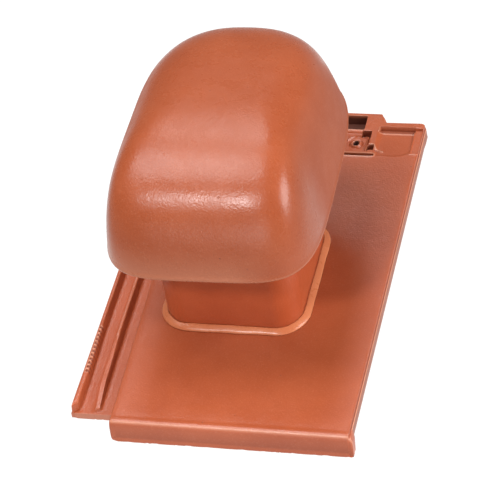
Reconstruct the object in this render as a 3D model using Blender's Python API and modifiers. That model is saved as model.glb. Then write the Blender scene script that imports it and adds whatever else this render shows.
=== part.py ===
"""Roof vent pipe: a flat clay roof tile with an upright clay pipe, a sealing bead and a hood.

x runs across the tile, y up the slope from the tile's nose, z up from the surface it lies on.
All sizes are in metres.
"""
import math

import bmesh
import bpy
from mathutils import Matrix, Vector

# Driving sizes of the tile
TOP = 0.025              # height of the flat field above the surface the tile lies on
SLAB = 0.013             # thickness of the flat field
LENGTH = 0.4795          # from the nose line to the rear edge
FIELD_W = 0.2489         # from the field's left edge to the outer face of the right-hand lap
LAP_DROP = 0.0135        # height of the right-hand lap's outer face below the field
LIP_T = 0.0120           # thickness of the front lip at its foot
LIP_SLANT = 0.0102       # how far the lip's foot stands in front of the nose line
CHANNEL_T = 0.008        # thickness of the left-hand water channel's floor
RIB_DROP = 0.0062        # tops of the channel's two ribs below the field
OUTER_RIB_W = 0.0074     # foot of the outer rib
INNER_RIB_W = 0.0070     # foot of the inner rib
OUTER_FLOOR_W = 0.0150   # floor between the two ribs
INNER_FLOOR_W = 0.0174   # floor between the inner rib and the field
BASE_STEP = 0.0012       # ledge outside the outer rib
CHANNEL_FRONT = 0.0175   # where the channel starts, behind the nose line
CHANNEL_SHORT = 0.0175   # how far the channel stops in front of the rear edge
HEAD_STEP_W = 0.0529     # width of the lower step in the rear edge
HEAD_STEP_D = 0.0140     # its depth
KNOB_R = 0.0036          # radius of the knob at the lip's right-hand end
KNOB_OUT = 0.0022        # how far the knob stands out beyond the lap
NIB_W = 0.036            # width of each nib under the head
NIB_D = 0.016            # depth of its foot
NAIL_LEFT = 0.0750       # left nail hole, from the field's left edge
NAIL_INSET = 0.0740      # right nail hole, from the lap's outer face
NAIL_BACK = 0.0467       # both nail holes, from the rear edge
NAIL_R = 0.0030          # radius of a nail hole
COLLAR_R = 0.0068        # radius of the raised collar round it

# Driving sizes of the pipe, its bead and the hood
PIPE_X = 0.0975          # middle of the pipe, from the field's left edge
PIPE_Y = 0.213           # middle of the pipe, from the nose line
PIPE_W = 0.146           # across the tile
PIPE_D = 0.160           # along the tile
PIPE_R = 0.028           # outer corner radius
PIPE_WALL = 0.011
PIPE_TALL = 0.190        # above the field
BEAD_W = 0.0072          # how far the bead stands out from the pipe
BEAD_H = 0.0075          # how far it climbs up the pipe
RIM_Z = 0.133            # the hood's rim above the field
HOOD_HALF = 0.112        # half the rim's width
HOOD_FRONT = 0.149       # rim's front edge, from the middle of the pipe
HOOD_REAR = 0.175        # rim's rear edge, from the middle of the pipe
CROWN_BACK = 0.0333      # the crown's middle, behind the middle of the pipe
HOOD_TALL = 0.108        # from the rim to the crown
HOOD_TURN = 1.3          # degrees the loose hood sits turned on the pipe
HOOD_WALL = 0.012
HOOD_EDGE = 0.0035       # rounding of the rim
RIB_T = 0.012            # thickness of the hood's inner ribs
LUG_T = 0.005            # thickness of the lugs that reach into the pipe
LUG_TALL = 0.010         # how far they reach down

# Clearances
SEAT = 0.0003            # between pieces that rest on or against each other
LOCATE = 0.0016          # between a hood rib's lug and the pipe's bore
JOINT = 0.0011           # between the lap and the next tile's field
LAP_ROOM = 0.0016        # between the lap's grooves and the next tile's ribs

# Fits worked out from the sizes above
PIPE_FOOT = TOP + SEAT
PIPE_TOP = TOP + PIPE_TALL
RIM = TOP + RIM_Z
BORE_W = PIPE_W - 2 * PIPE_WALL
BORE_D = PIPE_D - 2 * PIPE_WALL
BORE_R = PIPE_R - PIPE_WALL
RIB_FOOT = PIPE_TOP + SEAT
RIB_TOP = TOP - RIB_DROP
FIELD_DRAFT = 0.0008
INNER_R = -(FIELD_DRAFT + INNER_FLOOR_W)
INNER_L = INNER_R - INNER_RIB_W
OUTER_R = INNER_L - OUTER_FLOOR_W
OUTER_L = OUTER_R - OUTER_RIB_W
CHANNEL_X = OUTER_L - BASE_STEP
COVER = FIELD_W + JOINT
CHANNEL_REAR = LENGTH - CHANNEL_SHORT
NAIL_Y = LENGTH - NAIL_BACK
NAIL_RIGHT = FIELD_W - NAIL_INSET
CROWN_Y = PIPE_Y + CROWN_BACK

for old in list(bpy.data.objects):
    bpy.data.objects.remove(old, do_unlink=True)

PARTS = bpy.data.collections.new("roof_vent_pipe")
CUTTERS = bpy.data.collections.new("cutters")
bpy.context.scene.collection.children.link(PARTS)
bpy.context.scene.collection.children.link(CUTTERS)


# Shape tools
def arc(cx, cy, radius, start, end, steps):
    """Points on a circular arc, angles in degrees."""
    points = []
    for i in range(steps + 1):
        angle = math.radians(start + (end - start) * i / steps)
        points.append((cx + radius * math.cos(angle), cy + radius * math.sin(angle)))
    return points


def rounded(cx, cy, width, depth, radius, steps=6):
    """Outline of a rectangle with rounded corners."""
    ex = width / 2 - radius
    ey = depth / 2 - radius
    return (arc(cx + ex, cy + ey, radius, 0, 90, steps)
            + arc(cx - ex, cy + ey, radius, 90, 180, steps)
            + arc(cx - ex, cy - ey, radius, 180, 270, steps)
            + arc(cx + ex, cy - ey, radius, 270, 360, steps))


def finish(name, mesh, group):
    """Put a mesh in the scene as one named object."""
    mesh.name = name
    made = bpy.data.objects.new(name, mesh)
    group.objects.link(made)
    if group == CUTTERS:
        made.hide_render = True
        made.display_type = "WIRE"
    return made


def prism(name, outlines, along, low, high, group=CUTTERS):
    """Flat outlines carried along one axis: z takes (x, y), y takes (x, z), x takes (y, z)."""
    curve = bpy.data.curves.new(name, "CURVE")
    curve.dimensions = "2D"
    curve.fill_mode = "BOTH"
    curve.extrude = (high - low) / 2
    for outline in outlines:
        spline = curve.splines.new("POLY")
        spline.points.add(len(outline) - 1)
        for point, (u, v) in zip(spline.points, outline):
            point.co = (u, v, 0, 1)
        spline.use_cyclic_u = True
    source = bpy.data.objects.new(name, curve)
    bpy.context.scene.collection.objects.link(source)
    bpy.context.view_layer.update()
    mesh = bpy.data.meshes.new_from_object(source)
    bpy.data.objects.remove(source, do_unlink=True)
    middle = (low + high) / 2
    if along == "z":
        turn = Matrix.Identity(4)
        move = Vector((0, 0, middle))
    elif along == "y":
        turn = Matrix(((1, 0, 0, 0), (0, 0, 1, 0), (0, 1, 0, 0), (0, 0, 0, 1)))
        move = Vector((0, middle, 0))
    else:
        turn = Matrix(((0, 0, 1, 0), (1, 0, 0, 0), (0, 1, 0, 0), (0, 0, 0, 1)))
        move = Vector((middle, 0, 0))
    mesh.transform(Matrix.Translation(move) @ turn)
    weld(mesh)
    return finish(name, mesh, group)


def weld(mesh):
    """Close the caps and turn every face outwards."""
    work = bmesh.new()
    work.from_mesh(mesh)
    bmesh.ops.remove_doubles(work, verts=work.verts, dist=0.00001)
    bmesh.ops.recalc_face_normals(work, faces=work.faces)
    work.to_mesh(mesh)
    work.free()


def box(name, x0, x1, y0, y1, z0, z1):
    """A plain block between two corners."""
    work = bmesh.new()
    bmesh.ops.create_cube(work, size=1)
    bmesh.ops.scale(work, vec=(x1 - x0, y1 - y0, z1 - z0), verts=work.verts)
    middle = ((x0 + x1) / 2, (y0 + y1) / 2, (z0 + z1) / 2)
    bmesh.ops.translate(work, vec=middle, verts=work.verts)
    mesh = bpy.data.meshes.new(name)
    work.to_mesh(mesh)
    work.free()
    return finish(name, mesh, CUTTERS)


def drum(name, x, y, radius, z0, z1, steps=32):
    """An upright cylinder."""
    work = bmesh.new()
    bmesh.ops.create_cone(work, cap_ends=True, segments=steps, radius1=radius, radius2=radius,
                          depth=z1 - z0)
    bmesh.ops.translate(work, vec=(x, y, (z0 + z1) / 2), verts=work.verts)
    mesh = bpy.data.meshes.new(name)
    work.to_mesh(mesh)
    work.free()
    return finish(name, mesh, CUTTERS)


def combine(target, tool, operation):
    """Join a tool to a body, or cut it away."""
    change = target.modifiers.new(tool.name, "BOOLEAN")
    change.operation = operation
    change.solver = "EXACT"
    change.object = tool
    bpy.context.view_layer.update()
    ready = target.evaluated_get(bpy.context.evaluated_depsgraph_get())
    mesh = bpy.data.meshes.new_from_object(ready)
    target.modifiers.clear()
    target.data = mesh
    mesh.name = target.name


def bake(target):
    """Keep the result of a body's modifiers as its mesh."""
    bpy.context.view_layer.update()
    ready = target.evaluated_get(bpy.context.evaluated_depsgraph_get())
    mesh = bpy.data.meshes.new_from_object(ready)
    target.modifiers.clear()
    target.data = mesh
    mesh.name = target.name


def clay(target, colour, roughness, sharp):
    """Fired clay: one colour per piece, smooth where the surface curves."""
    material = bpy.data.materials.new(target.name)
    material.use_nodes = True
    shader = material.node_tree.nodes["Principled BSDF"]
    shader.inputs["Base Color"].default_value = colour
    shader.inputs["Roughness"].default_value = roughness
    target.data.materials.clear()
    target.data.materials.append(material)
    for face in target.data.polygons:
        face.use_smooth = True
    target.data.set_sharp_from_angle(angle=math.radians(sharp))


# Tile: cross-section of field, lap and water channel
groove_roof = TOP - 0.0058
under = TOP - SLAB
field_section = [
    (CHANNEL_X, 0.0),
    (0.0060, 0.0),
    (0.0095, under),
    (COVER + OUTER_L - LAP_ROOM, under),
    (COVER + OUTER_L - LAP_ROOM + 0.0004, groove_roof),
    (COVER + OUTER_R + LAP_ROOM - 0.0004, groove_roof),
    (COVER + OUTER_R + LAP_ROOM, under),
    (COVER + INNER_L - LAP_ROOM, under),
    (COVER + INNER_L - LAP_ROOM + 0.0004, groove_roof),
    (COVER + INNER_R + LAP_ROOM - 0.0004, groove_roof),
    (COVER + INNER_R + LAP_ROOM, TOP - LAP_DROP),
    (FIELD_W, TOP - LAP_DROP),
    (FIELD_W, TOP - 0.0040),
    (FIELD_W - 0.0012, TOP - 0.0036),
    (FIELD_W - 0.0013, TOP - 0.0014),
    (FIELD_W - 0.0017, TOP - 0.0004),
    (FIELD_W - 0.0026, TOP),
    (0.0012, TOP),
    (0.0002, TOP - 0.0010),
    (0.0, TOP - 0.0030),
    (-FIELD_DRAFT, CHANNEL_T),
    (INNER_R, CHANNEL_T),
    (INNER_R - 0.0008, RIB_TOP - 0.0008),
    (INNER_R - 0.0016, RIB_TOP),
    (INNER_L + 0.0018, RIB_TOP),
    (INNER_L + 0.0010, RIB_TOP - 0.0008),
    (INNER_L, CHANNEL_T),
    (OUTER_R, CHANNEL_T),
    (OUTER_R - 0.0010, RIB_TOP - 0.0008),
    (OUTER_R - 0.0017, RIB_TOP),
    (OUTER_L + 0.0013, RIB_TOP),
    (OUTER_L + 0.0006, RIB_TOP - 0.0010),
    (OUTER_L, CHANNEL_T + 0.0005),
    (CHANNEL_X, CHANNEL_T - 0.0010),
]
tile = prism("roof_tile", [field_section], "y", -0.020, LENGTH, PARTS)

# Tile: block of the front lip, its right end swelling to a small round knob at the foot
lip_section = ([(-0.0050, 0.0)] + arc(FIELD_W + KNOB_OUT - KNOB_R, KNOB_R, KNOB_R, -90, 0, 4)
               + [(FIELD_W - 0.0002, TOP - 0.0130), (FIELD_W - 0.0005, TOP - 0.0060),
                  (-0.0050, TOP - 0.0060)])
lip_back = LIP_T - LIP_SLANT
combine(tile, prism("lip_block", [lip_section], "y", -0.019, lip_back), "UNION")

# Tile: two nibs under the head that hook over a batten
nib_front = NAIL_Y - 0.0030
nib_side = [(nib_front, 0.0), (nib_front + NIB_D, 0.0), (nib_front + NIB_D + 0.0050, under + 0.004),
            (nib_front - 0.0020, under + 0.004)]
for side, x in (("left", NAIL_LEFT - 0.030), ("right", NAIL_RIGHT - 0.036)):
    nib = prism("nib_" + side, [nib_side], "x", x - NIB_W / 2, x + NIB_W / 2)
    combine(tile, nib, "UNION")

# Tile: room in front of the channel, with the lip's rounded lower left corner
channel_room = ([(CHANNEL_X - 0.010, TOP + 0.010), (CHANNEL_X - 0.010, -0.010), (0.0050, -0.010)]
                + arc(0.0050, 0.0050, 0.0050, 270, 180, 4) + [(0.0, TOP + 0.010)])
combine(tile, prism("channel_room", [channel_room], "y", -0.030, CHANNEL_FRONT), "DIFFERENCE")

# Tile: ends of the two channel ribs, which slant back and to the right
SKEW = 0.45
rib_end = [(CHANNEL_FRONT - 0.015, CHANNEL_T), (CHANNEL_FRONT + 0.0030, CHANNEL_T),
           (CHANNEL_FRONT + 0.0075, RIB_TOP + 0.002), (CHANNEL_FRONT - 0.015, RIB_TOP + 0.002)]
for side, left, right in (("outer", OUTER_L, OUTER_R), ("inner", INNER_L, INNER_R)):
    cut = prism("rib_end_" + side, [rib_end], "x", left - 0.003, right + 0.002)
    lean = Matrix(((1, 0, 0, 0), (SKEW, 1, 0, -SKEW * left), (0, 0, 1, 0), (0, 0, 0, 1)))
    cut.data.transform(lean)
    combine(tile, cut, "DIFFERENCE")

# Tile: the nose, with a shallow dip behind a soft roll and a face that slants forward
nose_air = [
    (0.0140, TOP + 0.004),
    (0.0115, TOP),
    (0.0085, TOP - 0.0005),
    (0.0055, TOP - 0.0009),
    (0.0030, TOP - 0.0008),
    (0.0005, TOP - 0.0002),
    (-0.0015, TOP - 0.0001),
    (-0.0034, TOP - 0.0006),
    (-0.0050, TOP - 0.0018),
    (-0.0062, TOP - 0.0038),
    (-0.0070, TOP - 0.0065),
    (0.0008 - LIP_SLANT, 0.0040),
    (0.0006 - LIP_SLANT, 0.0030),
    (-LIP_SLANT, 0.0),
    (-LIP_SLANT, -0.004),
    (-0.040, -0.004),
    (-0.040, TOP + 0.004),
]
combine(tile, prism("nose_air", [nose_air], "x", CHANNEL_X - 0.020, FIELD_W + 0.020), "DIFFERENCE")

# Tile: outline of the head, with its step on the right and the channel's rear end on the left
step_x = FIELD_W - HEAD_STEP_W
step_y = LENGTH - HEAD_STEP_D
head_step = [(step_x - 0.0012, LENGTH + 0.020), (step_x - 0.0012, LENGTH),
             (step_x + 0.0002, LENGTH - 0.0004), (step_x + 0.0052, step_y + 0.0051),
             (step_x + 0.0073, step_y + 0.0004), (step_x + 0.0090, step_y),
             (FIELD_W - 0.0064, step_y + 0.0008), (FIELD_W - 0.0041, step_y - 0.0005),
             (FIELD_W - 0.0026, step_y - 0.0023), (FIELD_W - 0.0007, step_y - 0.0059),
             (FIELD_W, step_y - 0.0099), (FIELD_W + 0.010, step_y - 0.0150),
             (FIELD_W + 0.010, LENGTH + 0.020)]
combine(tile, prism("head_step", [head_step], "z", -0.010, TOP + 0.010), "DIFFERENCE")
channel_end = [(CHANNEL_X - 0.010, LENGTH + 0.020), (CHANNEL_X - 0.010, CHANNEL_REAR - 0.010),
               (CHANNEL_X + 0.010, CHANNEL_REAR), (-0.0060, CHANNEL_REAR),
               (0.0010, CHANNEL_REAR + 0.010), (0.0010, LENGTH + 0.020)]
combine(tile, prism("channel_end", [channel_end], "z", -0.010, TOP + 0.010), "DIFFERENCE")

# Tile: opening under the pipe's bore
opening = rounded(PIPE_X, PIPE_Y, BORE_W, BORE_D, BORE_R)
combine(tile, prism("opening", [opening], "z", -0.010, TOP + 0.010), "DIFFERENCE")

# Tile: sunk panel on the right of the head, deepest at the rear, with a groove behind it
panel_rear = step_y - 0.0065
panel_side = [(panel_rear - 0.0465, TOP + 0.003), (panel_rear - 0.0465, TOP),
              (panel_rear - 0.0090, TOP - 0.0022), (panel_rear - 0.0084, TOP - 0.0052),
              (panel_rear - 0.0015, TOP - 0.0052), (panel_rear, TOP + 0.003)]
panel = prism("panel", [panel_side], "x", FIELD_W - 0.0519, FIELD_W - 0.0114)
combine(tile, panel, "DIFFERENCE")
ledge_side = [(panel_rear - 0.0440, TOP + 0.003), (panel_rear - 0.0420, TOP - 0.0012),
              (panel_rear - 0.0070, TOP - 0.0012), (panel_rear - 0.0060, TOP - 0.0034),
              (panel_rear - 0.0018, TOP - 0.0034), (panel_rear - 0.0003, TOP + 0.003)]
ledge = prism("panel_ledge", [ledge_side], "x", FIELD_W - 0.0123, FIELD_W - 0.0040)
combine(tile, ledge, "DIFFERENCE")

# Tile: nail field in the middle of the head, with its pocket, notches and groove
HEAD_CUTS = (
    ("nail_field", NAIL_LEFT - 0.0250, NAIL_RIGHT + 0.0146, -0.0150, 0.0162, 0.0030),
    ("sill", NAIL_LEFT - 0.0130, NAIL_RIGHT + 0.0058, 0.0150, 0.0240, 0.0019),
    ("pocket", NAIL_LEFT - 0.0130, NAIL_RIGHT + 0.0057, 0.0208, 0.0420, 0.0090),
    ("rear_notch", NAIL_RIGHT + 0.0044, NAIL_RIGHT + 0.0144, 0.0100, 0.0182, 0.0075),
    ("side_notch", NAIL_RIGHT + 0.0131, NAIL_RIGHT + 0.0207, -0.0126, -0.0046, 0.0065),
    ("long_groove", NAIL_LEFT - 0.0350, NAIL_RIGHT + 0.0231, -0.0229, -0.0191, 0.0028),
)
for name, left, right, front, rear, deep in HEAD_CUTS:
    cut = box(name, left, right, NAIL_Y + front, NAIL_Y + rear, TOP - deep, TOP + 0.010)
    combine(tile, cut, "DIFFERENCE")

# Tile: raised collars and holes for the nails
for side, x in (("left", NAIL_LEFT), ("right", NAIL_RIGHT)):
    collar = drum("collar_" + side, x, NAIL_Y, COLLAR_R, TOP - 0.0060, TOP - 0.0010)
    combine(tile, collar, "UNION")
    hole = drum("hole_" + side, x, NAIL_Y, NAIL_R, -0.010, TOP + 0.010)
    combine(tile, hole, "DIFFERENCE")
clay(tile, (0.42, 0.115, 0.055, 1), 0.42, 32)

# Pipe: an open tube with rounded corners and softened lips
pipe = prism("vent_pipe", [rounded(PIPE_X, PIPE_Y, PIPE_W, PIPE_D, PIPE_R),
                           rounded(PIPE_X, PIPE_Y, BORE_W, BORE_D, BORE_R)],
             "z", PIPE_FOOT, PIPE_TOP, PARTS)
soften = pipe.modifiers.new("soften", "BEVEL")
soften.width = 0.0018
soften.segments = 2
soften.limit_method = "ANGLE"
soften.angle_limit = math.radians(60)
bake(pipe)
clay(pipe, (0.40, 0.105, 0.048, 1), 0.45, 40)

# Bead: a low run of sealing slip round the pipe's foot
bead_path = bpy.data.curves.new("bead_path", "CURVE")
bead_path.dimensions = "3D"
bead_path.twist_mode = "Z_UP"
track = bead_path.splines.new("POLY")
track_points = rounded(PIPE_X, PIPE_Y, PIPE_W + 2 * SEAT, PIPE_D + 2 * SEAT, PIPE_R + SEAT, 8)
track_points = [p for i, p in enumerate(track_points)
                if math.dist(p, track_points[i - 1]) > 0.00005]
track.points.add(len(track_points) - 1)
for point, (x, y) in zip(track.points, track_points):
    point.co = (x, y, PIPE_FOOT, 1)
track.use_cyclic_u = True
bead_side = bpy.data.curves.new("bead_side", "CURVE")
bead_side.dimensions = "2D"
edge = bead_side.splines.new("POLY")
bead_profile = [(0.0, 0.0), (BEAD_W, 0.0), (BEAD_W - 0.0003, 0.0018), (BEAD_W - 0.0014, 0.0034),
                (0.0034, 0.0056), (0.0012, BEAD_H - 0.0003), (0.0, BEAD_H)]
edge.points.add(len(bead_profile) - 1)
for point, (out, up) in zip(edge.points, bead_profile):
    point.co = (out, up, 0, 1)
edge.use_cyclic_u = True
bead_side_object = bpy.data.objects.new("bead_side", bead_side)
bead_source = bpy.data.objects.new("bead_source", bead_path)
CUTTERS.objects.link(bead_side_object)
CUTTERS.objects.link(bead_source)
bead_path.bevel_mode = "OBJECT"
bead_path.bevel_object = bead_side_object
bpy.context.view_layer.update()
bead_mesh = bpy.data.meshes.new_from_object(bead_source.evaluated_get(
    bpy.context.evaluated_depsgraph_get()))
bpy.data.objects.remove(bead_source, do_unlink=True)
bpy.data.objects.remove(bead_side_object, do_unlink=True)
weld(bead_mesh)
bead = finish("sealing_bead", bead_mesh, PARTS)
clay(bead, (0.52, 0.155, 0.075, 1), 0.35, 40)


# Hood: sections that run from the rim's rounded rectangle to the softer oval of the crown
DRAFT = math.tan(math.radians(10.6))
RIM_CORNERS = (4.64, 3.31)
CROWN_CORNERS = (8.0, 2.31)
SIDE_SHOULDER = 4.85
FRONT_SHOULDER = 3.1
REAR_SHOULDER = 3.71
REAR_FALL = 0.129


def oval(angle, level=0.0):
    """Unit outline of the hood seen from above, squarer at the front than at the rear."""
    c = math.cos(angle)
    s = math.sin(angle)
    end = 0 if s < 0 else 1
    power = 2 / (RIM_CORNERS[end] * (1 - level) + CROWN_CORNERS[end] * level)
    return math.copysign(abs(c) ** power, c), math.copysign(abs(s) ** power, s)


def even_angles(count):
    """Angles that space the oval's points evenly along its length."""
    half_w = HOOD_HALF
    half_l = (HOOD_REAR + HOOD_FRONT) / 2
    fine = 1440
    walk = [0.0]
    last = oval(0.0)
    for i in range(1, fine + 1):
        here = oval(2 * math.pi * i / fine)
        walk.append(walk[-1] + math.hypot((here[0] - last[0]) * half_w, (here[1] - last[1]) * half_l))
        last = here
    angles = []
    i = 0
    for k in range(count):
        while walk[i] < walk[-1] * k / count:
            i += 1
        angles.append(2 * math.pi * i / fine)
    return angles


ANGLES = even_angles(60)


def shoulder(level, power):
    """Share of the reach that is left at a level of a rounded shoulder."""
    return (1 - level ** power) ** (1 / power)


def hood_ring(level, inset, lift=0.0):
    """One line round the hood at a level from the rim, 0, to the crown, 1."""
    tall = HOOD_TALL - inset
    rise = level * tall
    half_w = (HOOD_HALF - inset - rise * DRAFT) * shoulder(level, SIDE_SHOULDER)
    front = (HOOD_FRONT + CROWN_BACK - inset - rise * DRAFT) * shoulder(level, FRONT_SHOULDER)
    rear = (HOOD_REAR - CROWN_BACK - inset) * shoulder(level, REAR_SHOULDER)
    ring = []
    for angle in ANGLES:
        across, along = oval(angle, level)
        y = (rear - front) / 2 + along * (rear + front) / 2
        slope = 1 - REAR_FALL * y / ((HOOD_REAR + HOOD_FRONT) / 2)
        ring.append((PIPE_X + across * half_w, CROWN_Y + y, RIM + lift + rise * slope))
    return ring


def loft(name, rings, group):
    """Skin over a run of rings, closed by a flat cap at each end."""
    work = bmesh.new()
    rows = [[work.verts.new(p) for p in ring] for ring in rings]
    count = len(rows[0])
    for lower, upper in zip(rows, rows[1:]):
        for i in range(count):
            j = (i + 1) % count
            work.faces.new((lower[i], lower[j], upper[j], upper[i]))
    work.faces.new(rows[-1])
    work.faces.new(list(reversed(rows[0])))
    bmesh.ops.recalc_face_normals(work, faces=work.faces)
    mesh = bpy.data.meshes.new(name)
    work.to_mesh(mesh)
    work.free()
    return finish(name, mesh, group)


# Hood: shell down the outside, round the rim and up the inside
LEVELS = ([0.75 * i / 6 for i in range(1, 7)]
          + [shoulder(share, SIDE_SHOULDER) for share in (0.9, 0.8, 0.65, 0.5, 0.35, 0.2, 0.08)])
outside = [hood_ring(level, 0.0) for level in reversed(LEVELS)]
rim = [
    hood_ring(0.0, 0.0, HOOD_EDGE),
    hood_ring(0.0, HOOD_EDGE * 0.29, HOOD_EDGE * 0.29),
    hood_ring(0.0, HOOD_EDGE),
    hood_ring(0.0, HOOD_WALL - HOOD_EDGE),
    hood_ring(0.0, HOOD_WALL - HOOD_EDGE * 0.29, HOOD_EDGE * 0.29),
    hood_ring(0.0, HOOD_WALL, HOOD_EDGE),
]
inside = [hood_ring(level, HOOD_WALL) for level in LEVELS]
hood = loft("hood", outside + rim + inside, PARTS)

# Hood: four inner ribs that rest on the pipe's upper edge, each with a lug inside its bore
REACH = HOOD_HALF + HOOD_FRONT + HOOD_REAR
CEILING = RIM + HOOD_TALL * 1.2
LUG_FOOT = RIB_FOOT - LUG_TALL
ribs = box("ribs", PIPE_X - REACH, PIPE_X + REACH, PIPE_Y - RIB_T / 2, PIPE_Y + RIB_T / 2,
           LUG_FOOT, CEILING)
long_rib = box("long_rib", PIPE_X - RIB_T / 2, PIPE_X + RIB_T / 2, PIPE_Y - REACH, PIPE_Y + REACH,
               LUG_FOOT, CEILING)
combine(ribs, long_rib, "UNION")
LUG = LOCATE + LUG_T
duct = rounded(PIPE_X, PIPE_Y, BORE_W - 2 * LUG, BORE_D - 2 * LUG, BORE_R - LUG)
combine(ribs, prism("duct", [duct], "z", LUG_FOOT - 0.010, CEILING + 0.010), "DIFFERENCE")
around = [(PIPE_X - 2 * REACH, PIPE_Y - 2 * REACH), (PIPE_X + 2 * REACH, PIPE_Y - 2 * REACH),
          (PIPE_X + 2 * REACH, PIPE_Y + 2 * REACH), (PIPE_X - 2 * REACH, PIPE_Y + 2 * REACH)]
lug_line = rounded(PIPE_X, PIPE_Y, BORE_W - 2 * LOCATE, BORE_D - 2 * LOCATE, BORE_R - LOCATE)
pipe_room = prism("pipe_room", [around, lug_line], "z", LUG_FOOT - 0.010, RIB_FOOT)
combine(ribs, pipe_room, "DIFFERENCE")
core = loft("core", [hood_ring(level, HOOD_WALL / 2) for level in [0.0] + LEVELS], CUTTERS)
combine(ribs, core, "INTERSECT")
combine(hood, ribs, "UNION")
turn = Matrix.Rotation(math.radians(HOOD_TURN), 4, "Z")
pivot = Matrix.Translation((PIPE_X, PIPE_Y, 0))
hood.data.transform(pivot @ turn @ pivot.inverted())
clay(hood, (0.42, 0.115, 0.055, 1), 0.40, 32)

# Origin at the middle of the whole part's base
knob_x = FIELD_W + KNOB_OUT
shift = Matrix.Translation((-(CHANNEL_X + knob_x) / 2, -(LENGTH - LIP_SLANT) / 2, 0))
for piece in PARTS.objects:
    piece.data.transform(shift)
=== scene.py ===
"""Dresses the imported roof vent: a fired clay tile with its vent pipe, sealing bead and hood."""

import math

import bpy
import numpy as np
from mathutils import Matrix, Vector


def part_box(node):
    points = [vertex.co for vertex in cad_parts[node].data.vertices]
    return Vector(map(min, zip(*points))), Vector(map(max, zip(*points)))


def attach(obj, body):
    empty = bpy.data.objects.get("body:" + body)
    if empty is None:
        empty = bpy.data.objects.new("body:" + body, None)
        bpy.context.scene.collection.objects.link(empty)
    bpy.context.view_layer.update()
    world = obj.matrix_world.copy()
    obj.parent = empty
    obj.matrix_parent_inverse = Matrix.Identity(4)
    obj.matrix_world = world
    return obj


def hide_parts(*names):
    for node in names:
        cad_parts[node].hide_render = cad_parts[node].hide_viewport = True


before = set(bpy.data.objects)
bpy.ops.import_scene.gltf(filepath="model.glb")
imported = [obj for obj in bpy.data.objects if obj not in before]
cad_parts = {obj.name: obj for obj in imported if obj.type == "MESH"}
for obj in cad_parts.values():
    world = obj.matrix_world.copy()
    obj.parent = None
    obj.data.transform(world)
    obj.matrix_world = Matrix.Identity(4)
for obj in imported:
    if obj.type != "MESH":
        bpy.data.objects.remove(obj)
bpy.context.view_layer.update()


# The camera stands high at the front and a little to the right, rolled by ten degrees, as in the
# photograph. It looks at the tile from almost three metres away through a long lens.
AZIMUTH, ELEVATION, ROLL = math.radians(19.0), math.radians(42.6), math.radians(-10.2)
LOOK_AT, DISTANCE = Vector((-0.00875, 0.01705, 0.025)), 2.890
SENSOR, FOCAL = 36.0, 5.42      # millimetres, and the focal length in picture widths
back = Vector((math.sin(AZIMUTH) * math.cos(ELEVATION),
               -math.cos(AZIMUTH) * math.cos(ELEVATION), math.sin(ELEVATION)))
level_right = Vector((math.cos(AZIMUTH), math.sin(AZIMUTH), 0))
level_up = back.cross(level_right)
right = level_right * math.cos(ROLL) + level_up * math.sin(ROLL)
up = level_up * math.cos(ROLL) - level_right * math.sin(ROLL)
camera = bpy.data.objects.new("camera", bpy.data.cameras.new("camera"))
bpy.context.scene.collection.objects.link(camera)
camera.matrix_world = (Matrix.Translation(LOOK_AT + back * DISTANCE)
                       @ Matrix((right, up, back)).transposed().to_4x4())
camera.data.sensor_width = SENSOR
camera.data.lens = SENSOR * FOCAL
camera.data.clip_end = 50.0
bpy.context.scene.camera = camera


# The roof tile is one pressed and fired clay piece with a satin copper-red slip. A rolled nose hangs over
# the row below, two ribs on the left interlock under the next tile, and the head carries the nail holes,
# a pocket, notches and a sunk panel. It lies flat, and the pipe stands on it over an opening.
FIELD, CHANNEL_FLOOR, CHANNEL_FRONT = 25.0, 8.0, 17.5      # millimetres, as all of this section
CHANNEL_REACH, NOSE_REACH, NOSE_CORNER, HEAD_FROM = 48.8, 10.2, 5.0, 300.0
THINNEST = 0.4
NAILS, NAIL_W, NAIL_D = ((75.0, 431.0), (174.9, 431.0)), 2.9, 3.8
NIBS, NIB_HALF = (45.0, 138.9), 18.0
OPENING, OPENING_R = (35.5, 159.5, 144.0, 282.0), 17.0
tile_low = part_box("roof_tile")[0] * 1000
TILE_X, TILE_Y = tile_low.x + CHANNEL_REACH, tile_low.y + NOSE_REACH


def spaced(*runs, closest=0.22):
    """Grid lines from (start, stop, step) runs, sorted, with near doubles left out."""
    found = np.unique(np.round(np.concatenate(
        [np.linspace(a, b, max(2, round((b - a) / step) + 1)) for a, b, step in runs]), 3))
    kept = [found[0]]
    for value in found[1:]:
        if value - kept[-1] > closest:
            kept.append(value)
    return np.array(kept)


def rect(x, y, x0, x1, y0, y1, r=0.0):
    """Distance to the edge of a rectangle with rounded corners, negative inside."""
    qx = np.abs(x - (x0 + x1) / 2) - ((x1 - x0) / 2 - r)
    qy = np.abs(y - (y0 + y1) / 2) - ((y1 - y0) / 2 - r)
    return np.hypot(np.maximum(qx, 0), np.maximum(qy, 0)) + np.minimum(np.maximum(qx, qy), 0) - r


def fade(distance, soft):
    """1 inside an edge and 0 outside it, over a soft width."""
    t = np.clip(0.5 - distance / soft, 0, 1)
    return t * t * (3 - 2 * t)


def off_path(x, y, points):
    """Distance to a line through some points."""
    best = np.full(np.broadcast(x, y).shape, 1e9)
    for (ax, ay), (bx, by) in zip(points, points[1:]):
        dx, dy = bx - ax, by - ay
        t = np.clip(((x - ax) * dx + (y - ay) * dy) / (dx * dx + dy * dy), 0, 1)
        best = np.minimum(best, np.hypot(x - ax - t * dx, y - ay - t * dy))
    return best


def wander(x, y, size, seed):
    """Smooth unevenness, mostly between -1 and 1, with features of about that size."""
    draw = np.random.default_rng(seed)
    total = 0.0
    for k in range(10):
        turn, phase = draw.uniform(0, 2 * math.pi, 2)
        rate = 2 * math.pi / (size * draw.uniform(0.7, 1.6))
        total = total + np.sin((x * math.cos(turn) + y * math.sin(turn)) * rate + phase)
    return total / 4.5


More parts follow.
